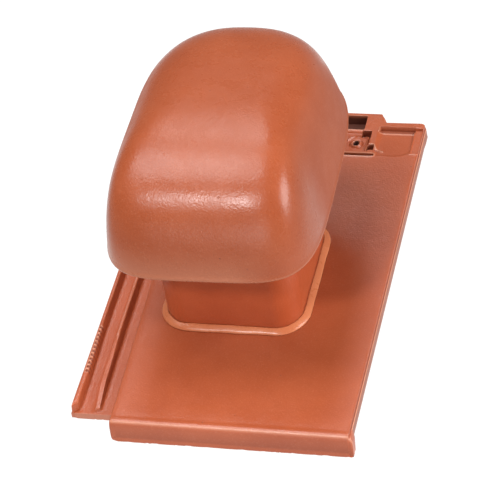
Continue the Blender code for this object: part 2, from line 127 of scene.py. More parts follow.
# The upper surface in section: x and height across the tile, then y and height along its nose.
ACROSS = ((-48.8, 7.0), (-48.3, 7.6), (-47.7, 9.0), (-46.9, 17.6), (-46.4, 18.5), (-45.9, 18.8),
          (-42.3, 18.8), (-41.7, 18.5), (-41.1, 17.6), (-40.3, 9.6), (-39.6, 8.5), (-38.6, 8.0),
          (-25.2, 8.0), (-24.6, 8.2), (-23.8, 9.2), (-22.9, 17.4), (-22.4, 18.4), (-22.0, 18.8),
          (-19.9, 18.8), (-19.4, 18.5), (-18.9, 17.6), (-18.1, 10.0), (-17.3, 8.7), (-16.0, 8.0),
          (-1.9, 8.0), (-1.2, 8.3), (-0.8, 9.2), (-0.1, 22.6), (0.2, 24.2), (0.7, 24.8), (1.4, 25.0),
          (245.6, 25.0), (246.3, 24.8), (246.7, 24.2), (246.9, 23.2), (247.1, 21.9), (247.5, 21.5),
          (248.1, 21.5), (248.5, 21.5), (248.9, 21.1), (249.1, 20.4), (250.0, 18.8), (250.7, 15.6),
          (251.1, 3.6))
ALONG = ((-10.2, 0.0), (-9.6, 2.4), (-9.35, 4.0), (-8.9, 5.6), (-7.5, 17.2), (-7.0, 19.6), (-6.3, 21.6),
         (-5.3, 23.2), (-4.2, 24.1), (-3.0, 24.7), (-1.5, 24.95), (0.6, 24.85), (1.8, 24.62), (2.6, 24.5),
         (5.0, 24.72), (9.0, 25.0))
SERRATION, SERRATION_RUN, SERRATION_REACH = 5.72, (65.2, 133.8), (-44.4, -41.0)
LONG_GROOVE = (40.0, 197.4, 409.9, 412.7)
CUTS = (  # x from and to, y from and to, depth, corner, softness: nail field, sill, pocket, two notches
    (50.0, 189.5, 417.8, 449.0, 3.0, 1.2, 1.0),
    (62.0, 180.0, 447.0, 457.0, 1.6, 0.8, 1.2),
    (62.0, 180.2, 454.6, 474.8, 11.6, 1.0, 1.0),
    (178.6, 189.2, 442.6, 450.6, 8.5, 0.6, 0.9),
    (188.4, 195.4, 420.0, 427.4, 8.0, 0.6, 0.9),
    (*LONG_GROOVE, 4.4, 1.4, 0.8))
PANEL_GROOVE = (197.8, 237.4, 450.8, 458.4)
FIN = ((189.0, 428.9), (195.6, 428.8), (198.4, 422.3), (201.2, 419.6), (207.2, 417.2))
RAISED = (  # both ends and the height of each straight lip
    ((62.0, 453.4), (180.0, 453.4), 0.9),
    ((62.0, 476.0), (180.0, 476.0), 0.5),
    ((198.5, 449.8), (237.0, 449.8), 0.6),
    ((197.0, 451.0), (197.0, 458.0), 0.5),
    ((237.4, 415.0), (245.6, 415.0), 0.6))


def notches(x, y):
    """1 in the small notches along the outer rib's inner shoulder, 0 elsewhere."""
    tooth = np.abs((y - SERRATION_RUN[0]) / SERRATION % 1 - 0.5) * 2
    along = (y > SERRATION_RUN[0]) & (y < SERRATION_RUN[1])
    across = (x > SERRATION_REACH[0]) & (x < SERRATION_REACH[1])
    return np.where(along & across, np.clip(1.5 - 2.4 * tooth, 0, 1), 0)


def rib_height(x, y):
    """How high the two lap ribs may stand: they sink towards the front and end on a slant, and the
    outer one is notched."""
    outer = np.interp(y - 0.8 * (x + 46.9), (17.6, 18.4, 23.0), (0.0, 9.2, 10.9))
    inner = np.interp(y - 0.45 * (x + 22.0), (20.8, 22.0, 24.0, 50.0, 125.0), (0.0, 2.6, 3.4, 8.4, 10.9))
    return np.where(x < -32, outer - 2.8 * notches(x, y), inner)


def lean(x, y):
    """How far the lap's ribs and the field's left edge stray from straight, towards the rear."""
    rib = np.interp(y, (60.0, 130.0, 200.0), (0.0, -1.5, -1.3))
    wall = np.interp(y, (20.0, 60.0, 130.0, 200.0), (0.0, -1.3, -2.2, -2.4))
    edge = np.interp(y, (20.0, 200.0), (0.0, -3.8))
    shares = [np.clip((x - a) / (b - a), 0, 1) for a, b in ((-45.5, -42.5), (-38.0, -25.0), (-16.0, -2.0),
                                                             (1.6, 34.0))]
    way = rib * shares[0]
    way = way + (wall - rib) * shares[1]
    way = way + (edge - wall) * shares[2]
    return way - edge * shares[3]


def lips(x, y):
    """Height of the thin raised lips along the head's cuts."""
    rim = np.exp(-((rect(x, y, *LONG_GROOVE, 1.4) - 1.5) / 0.7) ** 2)
    fin = np.exp(-(off_path(x, y, FIN) / 0.75) ** 2)
    high = np.maximum(0.8 * rim, 0.9 * fin)
    for start, end, tall in RAISED:
        high = np.maximum(high, tall * np.exp(-(off_path(x, y, (start, end)) / 0.7) ** 2))
    return np.where((x > 3) & (y > HEAD_FROM), high, 0)


def head_depth(x, y):
    """How deep the head is cut: the cuts above, a sunk panel with a strip and a groove beside it, and
    round bosses and brows left standing about the nail holes."""
    deep = np.zeros(x.shape)
    for x0, x1, y0, y1, depth, corner, soft in CUTS:
        deep = np.maximum(deep, depth * fade(rect(x, y, x0, x1, y0, y1, corner), soft))
    slope = 0.6 + 2.2 * np.clip((y - 411) / 39, 0, 1)
    bow = 411.2 + 7.0 * np.clip((x - 222) / 16, 0, 1) ** 2
    panel = fade(rect(x, y, 196.0, 237.4, 380.0, 452.0, 0.5), 1.0) * fade(bow - y, 2.0)
    panel = panel * np.clip((x - 196.0) / 5.0, 0, 1)
    deep = np.maximum(deep, slope * panel)
    strip = fade(rect(x, y, 230.0, 246.4, 415.5, 456.0, 0.8), 1.2) * 1.5 * (x > 236.6)
    deep = np.maximum(deep, strip * fade(237.6 - x, 1.6))
    groove = 5.4 * fade(rect(x, y, *PANEL_GROOVE, 0.7), 1.0)
    groove_end = 3.6 * fade(rect(x, y, 232.0, 245.6, 454.4, 458.2, 0.7), 1.0)
    deep = np.maximum(deep, np.maximum(groove, groove_end))
    deep = np.maximum(deep, 1.6 * fade(off_path(x, y, ((197.5, 418.9), (204.8, 417.3))) - 0.9, 1.2))
    for nx, ny in NAILS:
        far = np.hypot(x - nx, y - ny)
        ring = 1.9 * fade(np.abs(far - 4.5) - 0.8, 1.0)
        moat = 1.0 * fade(np.abs(far - 7.0) - 0.7, 1.2)
        bow_line = off_path(x, y, ((nx - 10.5, ny + 5.2), (nx - 6.8, ny + 9.8), (nx - 3.2, ny + 12.8),
                                   (nx + 1.6, ny + 13.2), (nx + 6.0, ny + 11.6), (nx + 11.4, ny + 10.8)))
        brow = 2.2 * fade(bow_line - 0.5, 1.1)
        wall = 2.0 * fade(np.abs(x - nx - 12.2) - 0.7, 1.0) * fade(rect(x, y, nx, nx + 15, 420, 441.4), 1.2)
        deep = np.where(deep > 0.5, np.maximum(0, deep + moat - ring - brow - wall), deep)
    return np.where((x > 3) & (y > HEAD_FROM), deep, 0)


def tile_top(x, y):
    """Height of the tile's upper surface, with a little unevenness away from its edges."""
    z = np.interp(x, *zip(*ACROSS)) + 0 * y
    ribs = (x < -16.5) & (y < HEAD_FROM)
    z = np.where(ribs, np.minimum(z, CHANNEL_FLOOR + rib_height(x, y)), z)
    nose = np.interp(y, *zip(*ALONG))
    z = np.where(x >= -0.9, np.minimum(z, nose - np.maximum(0, FIELD - z)), z)
    z = z - head_depth(x, y) + lips(x, y)
    uneven = 0.10 * wander(x, y, 60, 3) + 0.035 * wander(x, y, 11, 5)
    return z + uneven * fade(3 - x, 4) * fade(x - 243, 4) * fade(16 - y, 6) - 0.10


def tile_under(x, y):
    """Height of the tile's underside, with the lap's grooves, the front lip and two nibs."""
    z = np.interp(x, (6.0, 9.5, 200.6, 201.2, 210.8, 211.4, 223.0, 223.6, 232.6, 233.2, 234.0),
                  (0.0, 12.0, 12.0, 19.2, 19.2, 12.0, 12.0, 19.2, 19.2, 12.0, 11.5)) + 0 * y
    for centre in NIBS:
        nib = np.interp(y, (427.6, 429.8, 445.8, 448.8), (12.0, 0.0, 0.0, 12.0))
        z = np.where(np.abs(x - centre) < NIB_HALF, np.minimum(z, nib), z)
    z = np.minimum(z, np.interp(y, (1.6, 2.8), (0.0, 30.0)))
    corner = NOSE_CORNER - np.sqrt(np.maximum(0, NOSE_CORNER ** 2 - np.maximum(0, NOSE_CORNER - x) ** 2))
    return np.where(y < CHANNEL_FRONT - 0.1, np.maximum(z, np.where(x >= 0, corner, 0)), z)


def chipped(x, y):
    """How far the tile's lower front arris is chipped away."""
    return (1.1 * np.maximum(0, wander(x, y, 7, 11)) ** 2 + 1.0 * np.maximum(0, wander(x, y, 3.2, 12) - 0.4)
            + 0.25 * np.maximum(0, wander(x, y, 16, 13)))


# The tile from above, from the left end of its nose to the right and round.
OUTLINE = ((5.0, -10.2), (249.4, -10.2), (250.6, -9.6), (251.1, -8.2), (251.1, 3.6), (250.6, 5.6),
           (248.9, 7.4), (248.9, 459.5), (248.2, 462.0), (246.8, 464.2), (244.6, 465.6), (242.6, 466.3),
           (205.0, 465.6), (203.3, 465.9), (201.2, 470.6), (199.2, 474.0), (197.6, 476.4), (196.4, 479.2),
           (195.0, 479.5), (1.0, 479.5), (1.0, 472.0), (-6.0, 462.0), (-38.8, 462.0), (-47.4, 458.2),
           (-48.8, 456.6), (-48.8, 17.5), (-0.8, 17.5), (-0.2, 16.0), (0.0, 14.0), (0.0, -8.5),
           (0.9, -9.3), (2.6, -9.95), (5.0, -10.2))


def inside(x, y, outline):
    """Whether points lie inside an outline."""
    hit = np.zeros(np.broadcast(x, y).shape, bool)
    for (ax, ay), (bx, by) in zip(outline, outline[1:]):
        if ay != by:
            hit ^= ((ay > y) != (by > y)) & (x < (bx - ax) * (y - ay) / (by - ay) + ax)
    return hit


def nearest(x, y, outline):
    """Distance to an outline, with its nearest point."""
    best, at = 1e9, (x, y)
    for (ax, ay), (bx, by) in zip(outline, outline[1:]):
        dx, dy = bx - ax, by - ay
        t = min(1, max(0, ((x - ax) * dx + (y - ay) * dy) / (dx * dx + dy * dy)))
        far = math.hypot(x - ax - t * dx, y - ay - t * dy)
        if far < best:
            best, at = far, (ax + t * dx, ay + t * dy)
    return best, at


def rounded(x0, x1, y0, y1, r, steps):
    """Closed outline of a rectangle with rounded corners."""
    points = []
    for cx, cy, start in ((x1 - r, y1 - r, 0), (x0 + r, y1 - r, 90), (x0 + r, y0 + r, 180),
                          (x1 - r, y0 + r, 270)):
        for k in range(steps + 1):
            turn = math.radians(start + 90 * k / steps)
            points.append((cx + r * math.cos(turn), cy + r * math.sin(turn)))
    return points + points[:1]


def edges(*at):
    """Short runs of close grid lines over soft edges."""
    return [(a - 0.9, a + 0.9, 0.6) for a in at]


across_lines = spaced(*[(x, x, 1) for x, z in ACROSS], (-39, -25.2, 4.6), (-16.9, -1.9, 5), (1.4, 35.5, 6),
                      *edges(50.0, 62.0, 181.0, 189.4, 195.8, 198.0, 237.8, 246.3, 40.0),
                      (-44.6, -44.2, 0.4), (62.0, 88.0, 1.2), (162.0, 209.0, 0.9), (88.0, 162.0, 6.0),
                      (35.5, 50.5, 2.5), (142.5, 159.5, 2.5), (209.0, 246.0, 3.1))
along_lines = spaced(*[(y, y, 1) for y, z in ALONG], (17.5, 28.0, 0.9), (28.0, 64.0, 6.0),
                     (64.0, 135.0, SERRATION / 6), (135.0, 144.0, 4.5), (144.0, 162.0, 2.6),
                     (162.0, 264.0, 6.0), (264.0, 282.0, 2.6), (282.0, 406.4, 7.0), (406.4, 460.0, 0.75),
                     (460.0, 480.0, 1.2), *edges(474.6, 465.6), (2.0, 2.6, 0.6), (479.5, 479.5, 1))
gx, gy = np.meshgrid(across_lines, along_lines, indexing="ij")
mid_x = (gx[1:, 1:] + gx[:-1, :-1]) / 2
mid_y = (gy[1:, 1:] + gy[:-1, :-1]) / 2
keep = inside(mid_x, mid_y, OUTLINE) & (rect(mid_x, mid_y, *OPENING, OPENING_R) > 0)
for nx, ny in NAILS:
    keep &= np.hypot((mid_x - nx) / NAIL_W, (mid_y - ny) / NAIL_D) > 1
wide = np.pad(keep, 1)
kept_near = wide[1:, 1:].astype(int) + wide[:-1, 1:] + wide[1:, :-1] + wide[:-1, :-1]
hole_line = rounded(*OPENING, OPENING_R, 24)
nail_lines = [[(nx + NAIL_W * math.cos(t / 16 * math.pi), ny + NAIL_D * math.sin(t / 16 * math.pi))
               for t in range(33)] for nx, ny in NAILS]
# Grid points at the border of what is kept move on to the nearest outline.
for i, j in zip(*np.nonzero((kept_near > 0) & (kept_near < 4))):
    spot = min(nearest(gx[i, j], gy[i, j], line) for line in [OUTLINE, hole_line] + nail_lines)
    gx[i, j], gy[i, j] = spot[1]
top_z, under_z = tile_top(gx, gy), tile_under(gx, gy)
front_arris = (kept_near < 4) & (under_z < 6.0) & (gy < 20)
under_z = under_z + np.where(front_arris, chipped(gx, gy), 0)
top_z = np.maximum(top_z, under_z + THINNEST)
used = kept_near > 0
order = -np.ones(used.shape, int)
order[used] = np.arange(used.sum())
shift = np.array((TILE_X, TILE_Y, 0.0))
place_x = gx + lean(gx, gy)
# The underside flares a little at the rear right corner.
flare = 0.6 * np.clip((gx - 246.5) / 2.4, 0, 1) * np.clip((gy - 440) / 8, 0, 1)
verts = np.concatenate([np.stack([x[used], gy[used], z[used]], 1)
                        for x, z in ((place_x, top_z), (place_x + flare, under_z))])
verts = (verts + shift) / 1000
count = int(used.sum())
a, b, c, d = (order[:-1, :-1][keep], order[1:, :-1][keep], order[1:, 1:][keep], order[:-1, 1:][keep])
faces = [tuple(f) for f in np.stack([a, b, c, d], 1)]
faces += [tuple(f) for f in np.stack([d, c, b, a], 1) + count]
# An edge that only one face has gets a wall between the upper side and the underside.
border = {}
for f in np.stack([a, b, c, d], 1).tolist():
    for p, q in zip(f, f[1:] + f[:1]):
        if (q, p) in border:
            del border[(q, p)]
        else:
            border[(p, q)] = True
faces += [(q, p, p + count, q + count) for p, q in border]


def solid(name, points, polygons, sharp):
    """One mesh object from points and faces, smooth but for edges above an angle."""
    mesh = bpy.data.meshes.new(name)
    mesh.from_pydata([tuple(p) for p in points], [], polygons)
    mesh.validate()
    mesh.polygons.foreach_set("use_smooth", [True] * len(mesh.polygons))
    mesh.set_sharp_from_angle(angle=math.radians(sharp))
    made = bpy.data.objects.new(name, mesh)
    bpy.context.scene.collection.objects.link(made)
    return made


class Sock:
    """One output among a material's nodes, with Python's operators for its maths."""

    def __init__(self, tree, socket=None):
        self.tree, self.socket = tree, socket

    def node(self, kind, settings=(), inputs=(), out=0):
        """Adds a node of any type, sets it up, then gives its sockets values or links."""
        made = self.tree.nodes.new(kind)
        for name, value in dict(settings).items():
            setattr(made, name, value)
        for name, value in dict(inputs).items():
            if isinstance(value, Sock):
                self.tree.links.new(value.socket, made.inputs[name])
            else:
                made.inputs[name].default_value = value
        return Sock(self.tree, made.outputs[out])

    def maths(self, operation, first, second):
        return self.node("ShaderNodeMath", {"operation": operation}, {0: first, 1: second})

    def __add__(self, other):
        return self.maths("ADD", self, other)

    def __sub__(self, other):
        return self.maths("SUBTRACT", self, other)

    def __rsub__(self, other):
        return self.maths("SUBTRACT", other, self)

    def __mul__(self, other):
        return self.maths("MULTIPLY", self, other)

    __radd__, __rmul__ = __add__, __mul__

    def span(self, low, high, to_low=0.0, to_high=1.0):
        """Stretches a range of this value on to another, and holds it there."""
        return self.node("ShaderNodeMapRange", {"clamp": True},
                         {"Value": self, "From Min": low, "From Max": high,
                          "To Min": to_low, "To Max": to_high})

    def blend(self, first, second):
        """Goes from one colour to another by this value."""
        return self.node("ShaderNodeMix", {"data_type": "RGBA"}, {0: self, 6: first, 7: second}, 2)


def noise(sock, place, scale, detail=3.0, rough=0.55):
    """Cloudy values between about 0.25 and 0.75."""
    return sock.node("ShaderNodeTexNoise", {}, {"Vector": place, "Scale": scale, "Detail": detail,
                                                "Roughness": rough})


def slip(name, tone, deep, pale, roughness, grain=1.0, gloss=0.42):
    """Satin engobe on fired clay, mottled and pitted with an orange-peel skin. A painted highlight makes
    it paler on convex edges and where the piece is marked for it, painted shade makes it darker in
    hollows and nearly black where the piece is marked for it, and it is duller where the piece is
    marked matte."""
    material = bpy.data.materials.new(name)
    material.use_nodes = True
    tree = material.node_tree
    shader = tree.nodes["Principled BSDF"]
    # The second colour is the near black of the painted shade.
    pit_dark, shade_colour = (0.10, 0.022, 0.012, 1), (0.030, 0.008, 0.005, 1)
    start = Sock(tree)
    place = start.node("ShaderNodeTexCoord", out="Object")
    cloud = noise(start, place, 14.0, 4.0, 0.6).span(0.32, 0.68)
    speck = noise(start, place, 520.0, 2.0, 0.6)
    pits = start.node("ShaderNodeTexVoronoi", {}, {"Vector": place, "Scale": 95.0, "Randomness": 1.0})
    spots = noise(start, place, 30.0, 2.0).span(0.56, 0.66)
    pit = (1 - pits.span(0.035, 0.10)) * spots
    pointy = start.node("ShaderNodeNewGeometry", out="Pointiness")
    # Convex edges get a painted highlight, concave hollows painted shade.
    edge_highlight = pointy.span(0.52, 0.60)
    crease_shade = pointy.span(0.40, 0.49, 1.0, 0.0)
    # Painted shade and painted highlight, read from point attributes.
    painted_shade_mask = start.node("ShaderNodeAttribute", {"attribute_name": "painted_shade"}, out="Fac")
    painted_highlight_mask = start.node("ShaderNodeAttribute", {"attribute_name": "painted_highlight"}, out="Fac")
    colour = cloud.blend(deep, tone)
    colour = (speck.span(0.54, 0.74) * 0.14).blend(colour, pale)
    # In order: painted highlight on convex edges, painted shade in hollows, painted highlight where marked,
    # dark pits, then painted shade where marked.
    colour = (edge_highlight * 0.35).blend(colour, pale)
    colour = (crease_shade * 0.45).blend(colour, deep)
    colour = (painted_highlight_mask * 0.8).blend(colour, pale)
    colour = (pit * 0.6).blend(colour, pit_dark)
    colour = (painted_shade_mask * 0.9).blend(colour, shade_colour)
    tree.links.new(colour.socket, shader.inputs["Base Color"])
    rough = noise(start, place, 60.0, 3.0, 0.6).span(0.3, 0.7, roughness - 0.04, roughness + 0.05)
    matte = start.node("ShaderNodeAttribute", {"attribute_name": "matte"}, out="Fac")
    tree.links.new((rough + painted_shade_mask * 0.4 + matte * 0.35).socket, shader.inputs["Roughness"])
    peel = noise(start, place, 560.0, 2.0, 0.5) * 1.3 + noise(start, place, 210.0, 2.0, 0.5) * 1.2
    soft = noise(start, place, 38.0, 2.0, 0.5)
    height = (peel + soft) * 0.5 - pit * 1.2
    bump = start.node("ShaderNodeBump", {}, {"Strength": 0.9 * grain, "Distance": 0.00034, "Height": height})
    tree.links.new(bump.socket, shader.inputs["Normal"])
    shader.inputs["Specular IOR Level"].default_value = gloss
    return material


def painted_shades(x, y):
    """Painted shade, as a share: dark in the pocket, notches, grooves and nail holes, and along the
    field's left edge and the lap's ledge."""
    dark = np.zeros(x.shape)
    for x0, x1, y0, y1, depth, corner, _ in CUTS[2:]:
        cut = fade(rect(x, y, x0 - 0.2, x1 + 0.2, y0 - 0.1, y1 + 0.4, corner), 0.6)
        dark = np.maximum(dark, cut * (0.9 if depth > 10 else 0.6))
    dark = np.maximum(dark, 0.4 * fade(rect(x, y, 198.0, 237.2, 451.2, 458.2), 0.8))
    dark = np.maximum(dark, 0.45 * fade(np.abs(x) - 0.45, 0.4) * (y > 18))
    dark = np.maximum(dark, 0.5 * fade(np.abs(x - 247.3) - 0.3, 0.3) * (y > 8.0))
    dark = np.maximum(dark, 0.25 * fade(np.abs(y + 8.9) - 0.1, 0.3) * (x > 4))
    dark = np.maximum(dark, 0.45 * (x > 248.7) * (y > 8.0))
    for nx, ny in NAILS:
        dark = np.maximum(dark, fade(np.hypot((x - nx) / NAIL_W, (y - ny) / NAIL_D) * 3 - 3.2, 0.3))
    return np.maximum(dark, 0.5 * notches(x, y))


def painted_highlights(x, y):
    """Painted highlight, as a share: on the raised lips, the lap's ledge, between the notches and on the
    nose."""
    ledge = fade(np.abs(x - 248.2) - 0.4, 0.4) * (y > 8.0) * (y < 460.0)
    teeth = 0.65 * (x > -45.0) * (x < -41.5) * (y > SERRATION_RUN[0]) * (y < SERRATION_RUN[1])
    pale = np.maximum(np.maximum(lips(x, y) / 0.9, ledge), teeth * (1 - notches(x, y)))
    return np.maximum(pale, 0.6 * fade(np.abs(y + 4.6) - 1.0, 1.6) * (x > 1))


tile = solid("roof_tile_dressed", verts, faces, 38)
# Painted shade and painted highlight are stored on the tile as point attributes.
painted_shade = painted_shades(gx, gy)
for name, mask in (("painted_shade", painted_shade), ("painted_highlight", painted_highlights(gx, gy) * (1 - painted_shade))):
    layer = tile.data.attributes.new(name, "FLOAT", "POINT")
    layer.data.foreach_set("value", np.concatenate([mask[used], mask[used]]))
tile.data.materials.append(slip("tile_slip", (0.410, 0.090, 0.033, 1), (0.350, 0.070, 0.024, 1),
                                (0.66, 0.31, 0.20, 1), 0.33, 1.15, 0.46))
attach(tile, "root")
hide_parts("roof_tile")


# The vent pipe is an upright clay tube with rounded corners, stuck to the tile over its opening. Its
# slip is a little redder than the tile's, and its upper lip is rounded.
pipe_low, pipe_high = (v * 1000 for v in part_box("vent_pipe"))
PIPE_X, PIPE_Y = (pipe_low.x + pipe_high.x) / 2, (pipe_low.y + pipe_high.y) / 2
PIPE_W, PIPE_D = pipe_high.x - pipe_low.x, pipe_high.y - pipe_low.y
PIPE_R, PIPE_WALL, LIP, FOOT_BEVEL = 28.0, 11.0, 2.6, 0.8


def ring(inset, z, steps=12):
    """The pipe's outline at one height, set in from its outer face, in metres."""
    half_w, half_d = PIPE_W / 2 - inset, PIPE_D / 2 - inset
    line = rounded(-half_w, half_w, -half_d, half_d, PIPE_R - inset, steps)[:-1]
    filled = []
    for (ax, ay), (bx, by) in zip(line, line[1:] + line[:1]):
        parts = max(1, round(math.hypot(bx - ax, by - ay) / 7))
        filled += [(ax + (bx - ax) * k / parts, ay + (by - ay) * k / parts) for k in range(parts)]
    return [((PIPE_X + x) / 1000, (PIPE_Y + y) / 1000, z / 1000) for x, y in filled]


def skin(name, rings, sharp=40):
    """A closed surface over a run of rings, the last of them joined to the first."""
    points = [p for r in rings for p in r]
    n = len(rings[0])
    polygons = []
    for k in range(len(rings)):
        lower, upper = k * n, (k + 1) % len(rings) * n
        polygons += [(lower + i, lower + (i + 1) % n, upper + (i + 1) % n, upper + i) for i in range(n)]
    return solid(name, points, polygons, sharp)


pipe_rings = []
heights = np.linspace(pipe_low.z + 1.0, pipe_high.z - LIP, 14)
for z in heights:
    pipe_rings.append(ring(0.0, z))
for face, inward, turns in ((0.0, 1, (22, 45, 68, 90)), (PIPE_WALL, -1, (90, 68, 45, 22, 0))):
    for turn in turns:
        bend = math.radians(turn)
        pipe_rings.append(ring(face + inward * LIP * (1 - math.cos(bend)),
                               pipe_high.z - LIP * (1 - math.sin(bend))))
for z in heights[-2::-1]:
    pipe_rings.append(ring(PIPE_WALL, z))
for inset in (PIPE_WALL - FOOT_BEVEL, FOOT_BEVEL):
    pipe_rings.append(ring(inset, pipe_low.z))
pipe = skin("vent_pipe_dressed", pipe_rings)
pipe.data.materials.append(slip("pipe_slip", (0.46, 0.090, 0.030, 1), (0.40, 0.070, 0.022, 1),
                                (0.58, 0.17, 0.075, 1), 0.34))
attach(pipe, "root")
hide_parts("vent_pipe")


# The sealing bead is a run of lighter, glossier slip pressed round the pipe's foot with a finger, so its
# width and height wander a little. It is thin at the middle of the left side.
bead_low, bead_high = (v * 1000 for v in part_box("sealing_bead"))
BEAD_W = (bead_high.x - bead_low.x - PIPE_W) / 2
BEAD_H = bead_high.z - bead_low.z
SEAT, THIN_RUN, THIN_SIDE = 0.3, 28, 40
bead_rings = []
profile = [(0.0, 0.0), (0.35, 0.0), (0.75, 0.0), (0.95, 0.03), (1.0, 0.14), (0.95, 0.30), (0.84, 0.46),
           (0.68, 0.60), (0.52, 0.72), (0.36, 0.84), (0.20, 0.95), (0.08, 1.0), (0.0, 0.97), (0.0, 0.5)]
for share_out, share_up in profile:
    line = ring(-SEAT, bead_low.z, 16)
    moved = []
    for k, (x, y, z) in enumerate(line):
        ahead, behind = Vector(line[(k + 1) % len(line)]), Vector(line[k - 1])
        out = (ahead - behind).cross(Vector((0, 0, 1))).normalized()
        at_x, at_y = np.array(x * 1000), np.array(y * 1000)
        left = max(0, min(1, (PIPE_X - at_x) / THIN_SIDE))
        thin = math.exp(-((at_y - PIPE_Y + 5) / THIN_RUN) ** 2) * left
        swell = 0.93 + 0.07 * wander(at_x, at_y, 38, 21) - 0.7 * thin
        climb = 0.74 + 0.06 * wander(at_x, at_y, 30, 22)
        reach = share_out * (BEAD_W - SEAT) * min(1.0, swell) / 1000
        lift = share_up * BEAD_H * min(1.0, climb) / 1000
        moved.append((x + out.x * reach, y + out.y * reach, z + lift))
    bead_rings.append(moved)
bead = skin("sealing_bead_dressed", bead_rings, 60)
bead.data.materials.append(slip("bead_slip", (0.62, 0.20, 0.085, 1), (0.54, 0.15, 0.06, 1),
                                (0.72, 0.30, 0.16, 1), 0.28, 0.6))
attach(bead, "root")
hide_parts("sealing_bead")


# The hood is a loose, hollow clay cap that rests on the pipe by four inner ribs, turned a little from
# square. Its slip is darker and less glossy than the tile's and duller at the sides. A painted
# highlight runs round the rim, and painted light makes the foot of the front paler.
hood_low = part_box("hood")[0] * 1000
HOOD_HALF, HOOD_FRONT, HOOD_REAR = 112.0, 149.0, 175.0
CROWN_BACK, HOOD_TALL, HOOD_WALL, HOOD_EDGE = 33.3, 107.8, 12.0, 3.5
DRAFT = math.tan(math.radians(10.6))
RIM_CORNERS, CROWN_CORNERS = (4.64, 3.31), (8.0, 2.31)
SIDE_SHOULDER, FRONT_SHOULDER, REAR_SHOULDER = 4.85, 3.1, 3.71
REAR_FALL = 0.129
TURN = math.radians(1.3)
AROUND, WALK_STEPS, WALK_LEVEL = 144, 2880, 0.3


def shoulder(level, power):
    """Share of the reach that is left at a level of a rounded shoulder."""
    return (1 - level ** power) ** (1 / power)


def oval(angle, level):
    """Unit outline of the hood seen from above, squarer at the front than at the rear."""
    end = 0 if math.sin(angle) < 0 else 1
    power = 2 / (RIM_CORNERS[end] * (1 - level) + CROWN_CORNERS[end] * level)
    across, along = math.cos(angle), math.sin(angle)
    return math.copysign(abs(across) ** power, across), math.copysign(abs(along) ** power, along)


# Angles that are evenly spaced along the rim, found by walking round it in small steps.
walk = [0.0]
walk_angles = np.arange(WALK_STEPS + 1) / WALK_STEPS * 2 * math.pi
spots = [oval(angle, WALK_LEVEL) for angle in walk_angles]
for (ax, ay), (bx, by) in zip(spots, spots[1:]):
    walk.append(walk[-1] + math.hypot((bx - ax) * HOOD_HALF, (by - ay) * (HOOD_FRONT + HOOD_REAR) / 2))
hood_angles = np.interp(np.arange(AROUND) / AROUND * walk[-1], walk, walk_angles)


def hood_ring(level, inset, lift=0.0):
    """One line round the hood at a level from the rim, 0, to the crown, 1."""
    rise = level * (HOOD_TALL - inset)
    half_w = (HOOD_HALF - inset - rise * DRAFT) * shoulder(level, SIDE_SHOULDER)
    front = (HOOD_FRONT + CROWN_BACK - inset - rise * DRAFT) * shoulder(level, FRONT_SHOULDER)
    rear = (HOOD_REAR - CROWN_BACK - inset) * shoulder(level, REAR_SHOULDER)
    line = []
    for angle in hood_angles:
        across, along = oval(angle, level)
        x, y = across * half_w, (rear - front) / 2 + along * (rear + front) / 2
        z = hood_low.z + lift + rise * (1 - REAR_FALL * y / ((HOOD_REAR + HOOD_FRONT) / 2))
        y += CROWN_BACK
        line.append(((PIPE_X + x * math.cos(TURN) - y * math.sin(TURN)) / 1000,
                     (PIPE_Y + x * math.sin(TURN) + y * math.cos(TURN)) / 1000, z / 1000))
    return line


levels = list(np.linspace(0.04, 0.72, 18)) + [shoulder(s, SIDE_SHOULDER) for s in
                                              (0.93, 0.90, 0.86, 0.81, 0.75, 0.68, 0.6, 0.52, 0.44, 0.36,
                                               0.28, 0.2, 0.12, 0.06, 0.02)]
hood_rings = [hood_ring(level, 0.0) for level in reversed(levels)]
hood_rings.append(hood_ring(0.0, 0.0, HOOD_EDGE))
for face, inward, turns in ((0.0, 1, (22, 45, 68, 90)), (HOOD_WALL, -1, (90, 68, 45, 22))):
    for turn in turns:
        bend = math.radians(turn)
        hood_rings.append(hood_ring(0.0, face + inward * HOOD_EDGE * (1 - math.cos(bend)),
                                    HOOD_EDGE * (1 - math.sin(bend))))
hood_rings.append(hood_ring(0.0, HOOD_WALL, HOOD_EDGE))
hood_rings += [hood_ring(level, HOOD_WALL) for level in levels[::2] + levels[-1:]]
hood_points = [p for r in hood_rings for p in r]
hood_faces = []
for k in range(len(hood_rings) - 1):
    hood_faces += [(k * AROUND + i, (k + 1) * AROUND + i, (k + 1) * AROUND + (i + 1) % AROUND,
                    k * AROUND + (i + 1) % AROUND) for i in range(AROUND)]
hood_faces.append(tuple(range(AROUND)))
last = (len(hood_rings) - 1) * AROUND
hood_faces.append(tuple(reversed(range(last, last + AROUND))))
RIB_T, RIB_GAP, LUG_ROOM, LUG_T, LUG_TALL = 12.0, 0.3, 1.6, 5.0, 10.0
rib_foot = pipe_high.z + RIB_GAP
mid_wall = [hood_ring(level, HOOD_WALL / 2) for level in levels]
hub = Vector((PIPE_X, PIPE_Y, 0))
